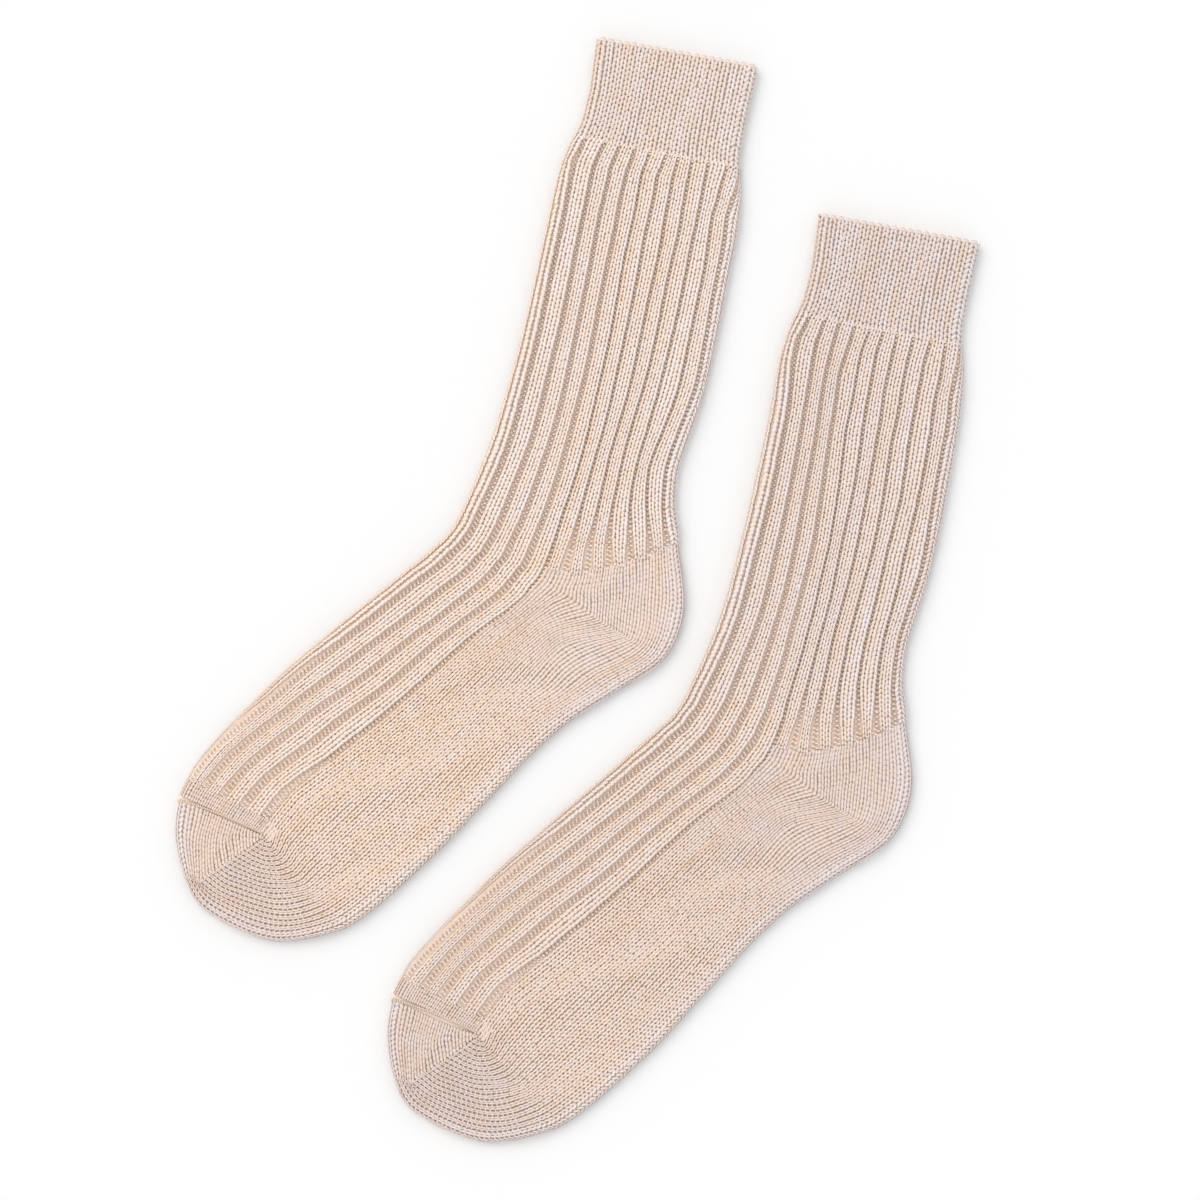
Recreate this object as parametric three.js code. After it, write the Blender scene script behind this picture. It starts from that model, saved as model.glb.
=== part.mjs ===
// A pair of chunky ribbed boot socks, lying flat on their sides, one beside the other.
// Millimetres, +Z up. From above, +Y runs towards the cuffs and the toes point to -X.
// The origin is on the surface they lie on, under the middle of the pair.
import * as THREE from 'three';

// The knitted cloth
const WALL = 2.6; // plain knitting, one layer
const HOLLOW = 0.8; // room left between the two layers of the flat sock
const THICKNESS = WALL + HOLLOW + WALL; // the flat sock, between its ribs
const RIB_HEIGHT = 1.1; // a rib's crest above the furrow beside it
const RIB_COUNT = { front: 4, back: 6 }; // from the middle line to where each fold starts
const RIB_PROFILE = [0, 0.85, 1, 0.85]; // furrow, shoulder, crest, shoulder
const FOLD_REACH = 4.5; // how far in from an edge the cloth takes to turn over
const FOLD_ANGLES = [45, 0, -45]; // steps of that turn, in degrees above the edge
const SEAM_GAP = 0.3; // clearance between two zones

// The closed toe
const RIDGE_HEIGHT = 0.9; // the linking seam, above the plain cloth
const RIDGE_WIDTH = 1.8;
const TIP_BULGE = 2.2; // how far the cloth rounds out past the last section
const TIP_ANGLES = [35, 65]; // steps of that rounding, in degrees
const TIP_NARROWING = 0.35; // what the rounding takes off the section's width

const YARN_COLOUR = 0xdbc7b9;

// Where the middle of the whole pair lies in the axes that the sections below are drawn in
const PAIR_MIDDLE = { x: 0, y: -0.75 };

// The flat outline of the first sock, a row for each section from the cuff to the toe. A section
// runs from the front edge over the middle line, the furrow beyond which the instep's ribs give
// way to the plain sole, to the back edge. The shift leads to the same place on the second sock.
const SECTIONS = [
  { name: 'cuff edge', front: [9, 259.5], middle: [43, 253.5], back: [85, 246], shift: [104.5, -83] },
  { name: 'welt foot', front: [-1.5, 213.5], middle: [33, 206.5], back: [76.5, 198.5], shift: [104.5, -83.5] },
  { name: 'rib top', front: [-9.5, 192], middle: [28.5, 183], back: [75.5, 172.5], shift: [105, -84] },
  { name: 'upper calf', front: [-15.5, 165.5], middle: [23, 156.5], back: [70.5, 146.5], shift: [106, -84] },
  { name: 'mid calf', front: [-27.5, 113.5], middle: [12.5, 104.5], back: [59.5, 94.5], shift: [106.5, -84] },
  { name: 'lower calf', front: [-39.5, 72.5], middle: [2.5, 62.5], back: [46.5, 53], shift: [107.5, -84] },
  { name: 'heel top', front: [-52.5, 40], middle: [-11, 23], back: [48, 21], shift: [107, -84] },
  { name: 'heel back', front: [-59, 27.5], middle: [-18, 5.5], back: [51, -8.5], shift: [107, -84] },
  { name: 'heel corner', front: [-63, 23], middle: [-21, 1.5], back: [43.5, -31], shift: [106.5, -85] },
  { name: 'heel foot', front: [-69, 17.5], middle: [-24, -3.5], back: [29, -42.5], shift: [105, -86] },
  { name: 'arch', front: [-85.5, 4], middle: [-56, -27.5], back: [-13, -71], shift: [104, -88] },
  { name: 'instep', front: [-117.5, -22], middle: [-86, -56], back: [-43.5, -101.5], shift: [103, -90.5] },
  { name: 'ball', front: [-147.5, -49], middle: [-116.5, -80.5], back: [-70.5, -129], shift: [102, -92.5] },
  { name: 'toe seam', front: [-187, -96.5], middle: [-148.5, -114], back: [-109.5, -160.5], shift: [100.5, -93.5] },
  { name: 'toe', front: [-188.5, -124], middle: [-164.5, -137], back: [-137.5, -166.5], shift: [99.5, -94.5] },
  { name: 'toe tip', front: [-180.5, -145], middle: [-173.5, -150.5], back: [-162, -160.5], shift: [98, -94.5] },
];

// The zones of a sock. Each side of the middle line is ribbed, 1, or plain, 0.
const ZONES = [
  { name: 'welt', from: 'cuff edge', to: 'welt foot', steps: 3, frontRibs: 0, backRibs: 0 },
  { name: 'leg', from: 'welt foot', to: 'heel top', steps: 10, frontRibs: 1, backRibs: 1 },
  { name: 'heel', from: 'heel top', to: 'arch', steps: 9, frontRibs: 1, backRibs: 0 },
  { name: 'foot', from: 'arch', to: 'toe seam', steps: 7, frontRibs: 1, backRibs: 0 },
  { name: 'toe', from: 'toe seam', to: 'toe tip', steps: 6, frontRibs: 0, backRibs: 0 },
];
const FIRST_ZONE = ZONES[0];
const TOE_ZONE = ZONES[ZONES.length - 1];

const SOCKS = [
  { name: 'upper_sock', shifted: 0 },
  { name: 'lower_sock', shifted: 1 },
];

// The three lines that run down a sock: its front edge, its middle line and its back edge.
function sockLines(sock) {
  const lineThrough = (column) => {
    const points = SECTIONS.map((section) => new THREE.Vector3(
      section[column][0] + sock.shifted * section.shift[0] - PAIR_MIDDLE.x,
      section[column][1] + sock.shifted * section.shift[1] - PAIR_MIDDLE.y,
      0,
    ));
    return new THREE.CatmullRomCurve3(points, false, 'centripetal');
  };
  return { front: lineThrough('front'), middle: lineThrough('middle'), back: lineThrough('back') };
}

// How far down the lines a named section is, from 0 at the cuff to 1 at the toe.
function placeOf(sectionName) {
  return SECTIONS.findIndex((section) => section.name === sectionName) / (SECTIONS.length - 1);
}

// The section at one place, moved a little way along the sock.
function sectionAt(lines, place, moved) {
  const pointOn = (line) => line.getPoint(place).addScaledVector(line.getTangent(place), moved);
  return { front: pointOn(lines.front), middle: pointOn(lines.middle), back: pointOn(lines.back) };
}

function sideWidth(section, side) {
  return section[side].distanceTo(section.middle);
}

function foldReach(section, side) {
  return Math.min(FOLD_REACH, 0.4 * sideWidth(section, side));
}

// A point of the section's plan, some way in from its front or back edge.
function planPoint(section, side, inward) {
  return section[side].clone().lerp(section.middle, inward / sideWidth(section, side));
}

// The top of one side, from its fold to just short of the middle line, with its ribs.
function topOfSide(section, side, ribs, lift) {
  const reach = foldReach(section, side);
  const ribWidth = (sideWidth(section, side) - reach) / RIB_COUNT[side];
  const points = [];
  for (let rib = 0; rib < RIB_COUNT[side]; rib += 1) {
    RIB_PROFILE.forEach((profile, step) => {
      const inward = reach + (rib + step / RIB_PROFILE.length) * ribWidth;
      points.push(planPoint(section, side, inward).setZ(THICKNESS + lift + ribs * RIB_HEIGHT * profile));
    });
  }
  return points;
}

// The rounded turn of the cloth round one edge, from the top down.
function foldOfSide(section, side) {
  const reach = foldReach(section, side);
  return FOLD_ANGLES.map((degrees) => {
    const angle = THREE.MathUtils.degToRad(degrees);
    const inward = reach * (1 - Math.cos(angle));
    return planPoint(section, side, inward).setZ((THICKNESS / 2) * (1 + Math.sin(angle)));
  });
}

// A flat layer from the front fold to the back fold, at one height.
function flatLayer(section, height) {
  const part = (side, share) => {
    const reach = foldReach(section, side);
    return planPoint(section, side, reach + share * (sideWidth(section, side) - reach)).setZ(height);
  };
  return [part('front', 0), part('front', 0.5), part('front', 1), part('back', 0.5), part('back', 0)];
}

// A ring of cloth is given as four runs of points: the top from the back fold to the front fold,
// the front fold, the flat underside and the back fold.
function outerRuns(section, zone, ridge) {
  return [
    [
      ...topOfSide(section, 'back', zone.backRibs, 0),
      section.middle.clone().setZ(THICKNESS + ridge),
      ...topOfSide(section, 'front', zone.frontRibs, ridge).reverse(),
    ],
    foldOfSide(section, 'front'),
    flatLayer(section, 0),
    foldOfSide(section, 'back').reverse(),
  ];
}

// The plain inner skin is one wall's thickness inside.
function innerRuns(section) {
  const turn = (side) => planPoint(section, side, WALL).setZ(THICKNESS / 2);
  return [
    flatLayer(section, WALL + HOLLOW).reverse(),
    [turn('front')],
    flatLayer(section, WALL),
    [turn('back')],
  ];
}

// A ring that rounds the closed tip over: narrower, thinner and further out than its section.
function tipRuns(section, forward, degrees) {
  const angle = THREE.MathUtils.degToRad(degrees);
  const narrowed = 1 - TIP_NARROWING * Math.sin(angle) ** 2;
  const thinned = Math.cos(angle);
  return outerRuns(section, TOE_ZONE, 0).map((run) => run.map((point) => new THREE.Vector3(
    section.middle.x + narrowed * (point.x - section.middle.x) + TIP_BULGE * Math.sin(angle) * forward.x,
    section.middle.y + narrowed * (point.y - section.middle.y) + TIP_BULGE * Math.sin(angle) * forward.y,
    THICKNESS / 2 + thinned * (point.z - THICKNESS / 2),
  )));
}

// Adds a ring's points to the mesh and gives back their numbers, run by run.
function addRing(mesh, runs) {
  return runs.map((run) => run.map((point) => mesh.points.push(point) - 1));
}

// The skin between two rings that have the same runs.
function bridgeRings(mesh, ring, nextRing) {
  const corners = ring.flat();
  const nextCorners = nextRing.flat();
  corners.forEach((corner, index) => {
    const beside = (index + 1) % corners.length;
    mesh.faces.push([corner, nextCorners[beside], nextCorners[index]]);
    mesh.faces.push([corner, corners[beside], nextCorners[beside]]);
  });
}

// The cut face of the cloth between the outer and the inner ring, whose runs have different
// counts: within each run it steps along whichever side lags behind.
function bridgeCloth(mesh, outerRing, innerRing) {
  // The top and the underside end at their own last points, a fold at the next run's first point.
  const withNext = (ring, index) => {
    const before = ring[(index + ring.length - 1) % ring.length];
    const after = ring[(index + 1) % ring.length];
    return index % 2 === 0 ? ring[index] : [before[before.length - 1], ...ring[index], after[0]];
  };
  outerRing.forEach((_, index) => {
    const outer = withNext(outerRing, index);
    const inner = withNext(innerRing, index);
    let outerStep = 0;
    let innerStep = 0;
    while (outerStep < outer.length - 1 || innerStep < inner.length - 1) {
      const outerShare = (outerStep + 1) / (outer.length - 1);
      const innerShare = (innerStep + 1) / (inner.length - 1);
      if (outerShare <= innerShare) {
        mesh.faces.push([outer[outerStep], inner[innerStep], outer[outerStep + 1]]);
        outerStep += 1;
      } else {
        mesh.faces.push([outer[outerStep], inner[innerStep], inner[innerStep + 1]]);
        innerStep += 1;
      }
    }
  });
}

// Closes a ring with a fan of faces about its middle.
function closeRing(mesh, ring) {
  const corners = ring.flat();
  const middle = corners.reduce((sum, corner) => sum.add(mesh.points[corner]), new THREE.Vector3());
  const hub = mesh.points.push(middle.divideScalar(corners.length)) - 1;
  corners.forEach((corner, index) => {
    mesh.faces.push([corner, corners[(index + 1) % corners.length], hub]);
  });
}

// A skin of cloth through a list of sections, facing outwards when they run from cuff to toe.
function addSkin(mesh, sectionRuns) {
  const rings = sectionRuns.map((runs) => addRing(mesh, runs));
  rings.slice(1).forEach((ring, index) => bridgeRings(mesh, rings[index], ring));
  return rings;
}

// The sections of a zone, half the seam's gap back from each end that meets another zone.
function zoneSections(lines, zone) {
  const start = placeOf(zone.from);
  const end = placeOf(zone.to);
  const sections = [];
  for (let step = 0; step <= zone.steps; step += 1) {
    let moved = 0;
    if (step === 0 && zone !== FIRST_ZONE) moved = SEAM_GAP / 2;
    if (step === zone.steps && zone !== TOE_ZONE) moved = -SEAM_GAP / 2;
    const place = THREE.MathUtils.lerp(start, end, step / zone.steps);
    sections.push({ ...sectionAt(lines, place, moved), ridge: 0 });
  }
  if (zone === TOE_ZONE) {
    // The linking seam stands up along the zone's first section, then drops to plain cloth
    sections[0].ridge = RIDGE_HEIGHT;
    sections.splice(
      1,
      0,
      { ...sectionAt(lines, start, RIDGE_WIDTH), ridge: RIDGE_HEIGHT },
      { ...sectionAt(lines, start, RIDGE_WIDTH + RIDGE_HEIGHT), ridge: 0 },
    );
  }
  return sections;
}

function zoneGeometry(lines, zone) {
  const sections = zoneSections(lines, zone);
  const outside = sections.map((section) => outerRuns(section, zone, section.ridge));
  const inside = sections.map((section) => innerRuns(section));
  if (zone === TOE_ZONE) {
    const forward = lines.middle.getTangent(1);
    TIP_ANGLES.forEach((degrees) => outside.push(tipRuns(sections.at(-1), forward, degrees)));
  }

  const mesh = { points: [], faces: [] };
  const outer = addSkin(mesh, outside);
  const inner = addSkin(mesh, inside.reverse()).reverse();
  bridgeCloth(mesh, outer[0], inner[0]);
  if (zone === TOE_ZONE) {
    closeRing(mesh, outer.at(-1).flat());
    closeRing(mesh, inner.at(-1).flat().reverse());
  } else {
    bridgeCloth(mesh, inner.at(-1), outer.at(-1));
  }

  const geometry = new THREE.BufferGeometry().setFromPoints(mesh.points);
  geometry.setIndex(mesh.faces.flat());
  geometry.computeVertexNormals();
  return geometry;
}

const yarn = new THREE.MeshStandardMaterial({ color: YARN_COLOUR, roughness: 0.95, metalness: 0 });
const pair = new THREE.Group();
SOCKS.forEach((sock) => {
  const lines = sockLines(sock);
  ZONES.forEach((zone) => {
    const mesh = new THREE.Mesh(zoneGeometry(lines, zone), yarn.clone());
    mesh.name = `${sock.name}_${zone.name}`;
    pair.add(mesh);
  });
});

export default pair;
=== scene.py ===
# %% [markdown]
# # A pair of boot socks
# Two cream knitted boot socks lie flat on a white table, seen from straight above.
# The solids of the part say where each sock lies and how thick it is. This script
# dresses them: a thin cloth tube for each sock, and the stitches that stand on it.
# All sizes below are in millimetres and become metres where a mesh is made.

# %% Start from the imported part
import math

import bmesh
import bpy
import numpy as np
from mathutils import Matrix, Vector


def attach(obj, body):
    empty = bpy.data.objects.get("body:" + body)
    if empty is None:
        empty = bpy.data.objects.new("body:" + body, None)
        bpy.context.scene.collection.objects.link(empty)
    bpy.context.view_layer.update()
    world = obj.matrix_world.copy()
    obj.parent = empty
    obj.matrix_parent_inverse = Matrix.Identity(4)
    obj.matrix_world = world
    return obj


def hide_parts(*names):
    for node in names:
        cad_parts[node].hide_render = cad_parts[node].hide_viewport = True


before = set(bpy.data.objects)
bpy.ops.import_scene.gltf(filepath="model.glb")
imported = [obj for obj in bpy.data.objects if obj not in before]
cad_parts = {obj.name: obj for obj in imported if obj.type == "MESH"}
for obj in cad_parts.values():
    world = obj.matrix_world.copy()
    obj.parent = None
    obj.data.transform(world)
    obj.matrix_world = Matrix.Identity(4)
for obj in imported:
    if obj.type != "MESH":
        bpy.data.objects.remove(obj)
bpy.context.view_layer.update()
MM = 0.001
print("frame nodes:", sorted(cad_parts))

# %% [markdown]
# ## Where the cloth lies
# A sock on a table is told by cross sections along it: the point on its front edge,
# a point on its middle line, and the point on its back edge. The middle line is the
# furrow that parts the ribbed instep from the plain sole. The second sock is nearly
# the first one moved, so each row keeps only the shift. The rows are those of the
# part's own source, so that the cloth lies on its solids.

# %% The cross sections
# columns: front edge x, y; middle x, y; back edge x, y; shift of the second sock x, y
SECTIONS = {
    "cuff edge": (9, 259.5, 43, 253.5, 85, 246, 104.5, -83),
    "welt foot": (-1.5, 213.5, 33, 206.5, 76.5, 198.5, 104.5, -83.5),
    "rib top": (-9.5, 192, 28.5, 183, 75.5, 172.5, 105, -84),
    "upper calf": (-15.5, 165.5, 23, 156.5, 70.5, 146.5, 106, -84),
    "mid calf": (-27.5, 113.5, 12.5, 104.5, 59.5, 94.5, 106.5, -84),
    "lower calf": (-39.5, 72.5, 2.5, 62.5, 46.5, 53, 107.5, -84),
    "heel top": (-52.5, 40, -11, 23, 48, 21, 107, -84),
    "heel back": (-59, 27.5, -18, 5.5, 51, -8.5, 107, -84),
    "heel corner": (-63, 23, -21, 1.5, 43.5, -31, 106.5, -85),
    "heel foot": (-69, 17.5, -24, -3.5, 29, -42.5, 105, -86),
    "arch": (-85.5, 4, -56, -27.5, -13, -71, 104, -88),
    "instep": (-117.5, -22, -86, -56, -43.5, -101.5, 103, -90.5),
    "ball": (-147.5, -49, -116.5, -80.5, -70.5, -129, 102, -92.5),
    "toe seam": (-187, -96.5, -148.5, -114, -109.5, -160.5, 100.5, -93.5),
    "toe": (-188.5, -124, -164.5, -137, -137.5, -166.5, 99.5, -94.5),
    "toe tip": (-180.5, -145, -173.5, -150.5, -162, -160.5, 98, -94.5),
}
ROW = {name: place for place, name in enumerate(SECTIONS)}
PAIR_MIDDLE = np.array([0, -0.75])
LINE_STEPS = 60
# how far the cloth's edges keep inside the solid's, in millimetres: place, front, back
EDGE_INSET = (
    (0, 0.7, 0.0), (0.07, 0.9, 0.3), (0.5, 2.5, 0.9), (0.85, 2.1, 1.1), (1.1, 0.2, 0.3),
    (1.5, 0.4, 0.4), (2.2, 0.8, 0.8), (4, 0.8, 0.4), (4.6, 0.8, 0.1), (5.1, 0.8, 0.9),
    (5.5, 0.8, 1.6), (6, 0.8, 0.7), (9, 0.8, 0.7), (9.6, 0.8, 1.6), (10, 0.8, 0.8), (15, 0.7, 0.7),
)


def unit(vectors):
    return vectors / np.maximum(np.linalg.norm(vectors, axis=1), 1e-9)[:, None]


def bend_between(p1, p2, slope1, slope2, f):
    """Points a share f of the way from p1 to p2, on a cubic with those slopes at its ends."""
    a = 2 * p1 - 2 * p2 + slope1 + slope2
    b = -3 * p1 + 3 * p2 - 2 * slope1 - slope2
    return a * f**3 + b * f**2 + slope1 * f + p1


def smooth_line(points, steps=LINE_STEPS):
    """A smooth curve through points, with its knots spaced as the root of their gaps."""
    points = np.asarray(points, float)
    first = 2 * points[0] - points[1]
    last = 2 * points[-1] - points[-2]
    whole = np.vstack([first, points, last])
    made = []
    for i in range(len(points) - 1):
        p0, p1, p2, p3 = whole[i : i + 4]
        d1, d2, d3 = (max(np.linalg.norm(b - a), 1e-6) ** 0.5 for a, b in ((p0, p1), (p1, p2), (p2, p3)))
        t1 = ((p1 - p0) / d1 - (p2 - p0) / (d1 + d2) + (p2 - p1) / d2) * d2
        t2 = ((p2 - p1) / d2 - (p3 - p1) / (d2 + d3) + (p3 - p2) / d3) * d2
        f = np.linspace(0, 1, steps, endpoint=False)[:, None]
        made.append(bend_between(p1, p2, t1, t2, f))
    return np.vstack([*made, points[-1:]])


def sock_lines(share):
    """The front, middle and back lines of a sock, moved by that share of the shift."""
    rows = np.array(list(SECTIONS.values()), float)
    shift = rows[:, 6:8] * share - PAIR_MIDDLE
    front, middle, back = (smooth_line(rows[:, c : c + 2] + shift) for c in (0, 2, 4))
    place = np.arange(len(middle)) / LINE_STEPS
    places, *insets = zip(*EDGE_INSET)
    made = []
    for line, inset in zip((front, back), insets):
        into = unit(middle - line)
        made.append(line + into * np.interp(place, places, inset)[:, None])
    return [made[0], middle, made[1]]


def along(line, at):
    """Points of a line at positions counted in the line's own points."""
    every = np.arange(len(line))
    return np.stack([np.interp(at, every, line[:, c]) for c in (0, 1)], -1)


def on_line(line, place):
    """The point of a line at a place counted in cross sections."""
    return along(line, np.clip(np.asarray(place, float), 0, len(SECTIONS) - 1) * LINE_STEPS)


print("cross sections:", len(SECTIONS))

# %% [markdown]
# ## How high the cloth stands
# Each sock is two layers of cloth, 6 mm in all, that turn into one another at the
# folded edges. Near an edge the top comes down on a quarter of an ellipse, so the
# height at a point only depends on how far it is from the sock's outline.

# %% Height and outline
THICKNESS = 6.0
FOLD_REACH = 4.5
FOLD_ARC = 5.3
TIP_BULGE = 1.6
# bumps and dents where the seam ends: x and y from the seam's end, reach, rise
PUCKER = (
    (5.5, -5.0, 4.0, 0.6),
    (1.0, 3.2, 1.8, -1.6),
    (2.2, -3.0, 1.5, -0.8),
    (9.0, -6.0, 5.0, 0.4),
    (-5.0, -3.0, 4.0, -0.4),
)


def toe_outline(lines):
    """The outline round the toe, from the back edge at the seam to the front edge."""
    front, middle, back = (on_line(line, 15) for line in lines)
    out = middle - on_line(lines[1], 14)
    tip = middle + TIP_BULGE * out / np.linalg.norm(out)
    turn = [back * 0.97 + tip * 0.03, tip, front * 0.97 + tip * 0.03]
    down, up = on_line(lines[2], (12, 13, 14)), on_line(lines[0], (14, 13, 12))
    return smooth_line([*down, *turn, *up])[LINE_STEPS:-LINE_STEPS]


class Sock:
    """The lines of one sock, and the points and heights that follow from them."""

    def __init__(self, name, share):
        self.name = name
        self.lines = sock_lines(share)
        self.toe = toe_outline(self.lines)
        self.heart = on_line(self.lines[1], ROW["toe seam"])
        to_seam = np.linspace(0, ROW["toe seam"], 400)
        front, _, back = (on_line(line, to_seam) for line in self.lines)
        self.outline = np.vstack([back, self.toe[2:-2:4], front[::-1]])
        self.share = share

    def body_point(self, place, side):
        """The plan point at a place along the sock and a side from -1, front, to 1, back."""
        front, middle, back = (on_line(line, place) for line in self.lines)
        edge = np.where(np.asarray(side)[..., None] < 0, front, back)
        return across(middle, edge, np.abs(side))

    def height(self, points, under=False):
        """Height and outward normal of the plain cloth over plan points."""
        d, out = self.edge_distance(points)
        d = np.minimum(d, FOLD_REACH)
        cosine = 1 - d / FOLD_REACH
        sine = np.sqrt(np.maximum(1 - cosine**2, 0))
        sine = np.where(under, -sine, sine)
        z = THICKNESS / 2 * (1 + sine)
        for x, y, reach, rise in PUCKER:
            gap = np.linalg.norm(points - self.heart - (x, y), axis=1)
            z = z + rise * np.exp(-((gap / reach) ** 2)) * (sine > 0)
        normal = np.column_stack([out * (cosine / FOLD_REACH)[:, None], sine / (THICKNESS / 2)])
        return z, normal / np.linalg.norm(normal, axis=1)[:, None]

    def edge_distance(self, points):
        """Distance to the outline, and the direction out to it, for many points."""
        a = self.outline[:-1]
        ab = self.outline[1:] - a
        length = (ab**2).sum(1)
        normal = np.stack([-ab[:, 1], ab[:, 0]], 1) / np.sqrt(length)[:, None]
        d = np.empty(len(points))
        out = np.empty((len(points), 2))
        for i in range(0, len(points), 4000):
            p = points[i : i + 4000]
            f = np.clip(((p[:, None] - a) * ab).sum(2) / length, 0, 1)
            gap = ((a + f[..., None] * ab - p[:, None]) ** 2).sum(2)
            best = gap.argmin(1)
            d[i : i + 4000] = np.sqrt(gap[np.arange(len(p)), best])
            out[i : i + 4000] = normal[best]
        return d, out


def plan_share(width, share):
    """The share of a side in plan, from a share measured over the curve of its fold."""
    reach = np.minimum(FOLD_REACH, 0.4 * width)
    arc = FOLD_ARC * reach / FOLD_REACH
    x = np.asarray(share) * (width - reach + arc)
    over = np.maximum(x - (width - reach), 0)
    angle = math.pi / 2 * (1 - over / arc)
    return np.where(over > 0, width - reach + reach * np.cos(angle), x) / width


def across(middle, edge, share):
    """Plan points a share of the way from middle to edge, over the fold's curve."""
    plan = plan_share(np.linalg.norm(edge - middle, axis=-1), share)
    return middle + (edge - middle) * plan[..., None]


SOCKS = [Sock("upper_sock", 0), Sock("lower_sock", 1)]
print("outline points:", [len(s.outline) for s in SOCKS])

# %% [markdown]
# ## Ribs
# The leg and the instep are knitted in a two and two rib: two columns of knit
# stitches stand up, and two columns of purl stitches sink between them and close
# into a furrow. A rib leans to the right: it climbs slowly to its crest and drops
# into the next furrow. No two furrows run alike, so each row below says where the
# eleven furrows of a sock cross it. Near the toe the instep's furrows swing to the
# front edge.

# %% Furrows and ribs
RIB_HEIGHT = 0.9
# below the heel the back side is plain, so its furrows only keep their places
BELOW_HEEL = (0.155, 0.31, 0.46, 0.62, 0.78, 0.92)
# place, then the side of each furrow in turn, from -1 at the front edge to 1 at the back;
# the rows below the heel leave out the furrows of the back side
FURROWS = {
    "upper_sock": (
        (1.05, -0.83, -0.57, -0.36, -0.16, 0.03, 0.21, 0.34, 0.48, 0.66, 0.86, 0.97),
        (1.5, -0.86, -0.61, -0.41, -0.2, -0.01, 0.15, 0.3, 0.46, 0.63, 0.79, 0.93),
        (2, -0.83, -0.6, -0.4, -0.2, -0.01, 0.145, 0.3, 0.45, 0.6, 0.745, 0.885),
        (3, -0.82, -0.59, -0.4, -0.195, -0.01, 0.145, 0.305, 0.447, 0.603, 0.764, 0.897),
        (4, -0.815, -0.585, -0.38, -0.185, 0, 0.145, 0.29, 0.427, 0.58, 0.76, 0.904),
        (5, -0.8, -0.58, -0.375, -0.19, -0.01, 0.138, 0.282, 0.415, 0.574, 0.711, 0.88),
        (6, -0.82, -0.59, -0.385, -0.175, 0.012, 0.15, 0.294, 0.434, 0.6, 0.76, 0.9),
        (7, -0.826, -0.6, -0.4, -0.19, 0.012),
        (9, -0.826, -0.6, -0.4, -0.2, -0.012),
        (10, -0.824, -0.59, -0.378, -0.176, 0.012),
        (11, -0.85, -0.638, -0.436, -0.217, -0.007),
        (12, -0.884, -0.684, -0.489, -0.253, -0.01),
        (12.5, -0.95, -0.776, -0.573, -0.33, -0.084),
        (12.85, -0.955, -0.79, -0.578, -0.325, -0.072),
        (13, -0.955, -0.79, -0.57, -0.32, 0),
    ),
    "lower_sock": (
        (1.05, -0.81, -0.6, -0.4, -0.2, 0, 0.155, 0.3, 0.47, 0.66, 0.82, 0.95),
        (1.5, -0.85, -0.62, -0.42, -0.23, -0.05, 0.11, 0.265, 0.434, 0.603, 0.783, 0.92),
        (2, -0.83, -0.607, -0.43, -0.26, -0.06, 0.097, 0.248, 0.41, 0.567, 0.747, 0.89),
        (3, -0.79, -0.595, -0.42, -0.253, -0.072, 0.1, 0.246, 0.398, 0.56, 0.747, 0.89),
        (3.5, -0.783, -0.59, -0.405, -0.217, -0.036, 0.116, 0.258, 0.41, 0.574, 0.747, 0.89),
        (4, -0.795, -0.578, -0.385, -0.193, -0.012, 0.11, 0.253, 0.41, 0.554, 0.723, 0.904),
        (5, -0.8, -0.59, -0.397, -0.217, -0.048, 0.097, 0.234, 0.386, 0.567, 0.76, 0.9),
        (6, -0.82, -0.59, -0.373, -0.156, 0.017, 0.14, 0.277, 0.434, 0.603, 0.747, 0.9),
        (7, -0.84, -0.61, -0.4, -0.19, 0.012),
        (9, -0.84, -0.61, -0.4, -0.2, -0.01),
        (10, -0.83, -0.6, -0.397, -0.193, 0.007),
        (11, -0.86, -0.65, -0.46, -0.25, -0.03),
        (12, -0.9, -0.71, -0.51, -0.28, -0.03),
        (12.5, -0.93, -0.735, -0.56, -0.33, -0.09),
        (12.85, -0.95, -0.74, -0.53, -0.29, -0.06),
        (13, -0.95, -0.74, -0.53, -0.29, 0),
    ),
}
MIDDLE_FURROW = 5
LAST_FURROW = 12
EDGE_FURROWS = (-1.06, 1.05)
# a rib's profile: share of the way to the next furrow, share of its height
LEAN = ((0, 0.0), (0.1, 0.12), (0.22, 0.55), (0.42, 0.85), (0.62, 1.0), (0.8, 0.92), (0.9, 0.35), (1, 0.0))
# where the ribs of the back side stop above the plain heel: side, place
RIB_END = ((0, 6.7), (0.186, 6.75), (0.357, 6.6), (0.55, 6.42), (0.775, 6.18), (1, 5.98), (1.2, 5.98))
# where the instep's ribs give way to a few plain courses before the seam
SEAM_COURSES = 12.86


def furrow_at(sock, number, place):
    """The side where a furrow runs at a place along the sock. Both outermost are under the edges."""
    place = np.asarray(place, float)
    if number == 0:
        return np.full(place.shape, EDGE_FURROWS[0])
    if number == LAST_FURROW:
        return np.full(place.shape, EDGE_FURROWS[1])
    places, *sides = zip(*((*row, *BELOW_HEEL)[:LAST_FURROW] for row in FURROWS[sock.name]))
    return np.interp(place, places, sides[number - 1]) + 0.004 * np.sin(place * 4.7 + number * 1.9)


def rib_end(side):
    """The place where ribs give way to plain knitting on the back side."""
    return np.interp(side, *zip(*RIB_END))


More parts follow.
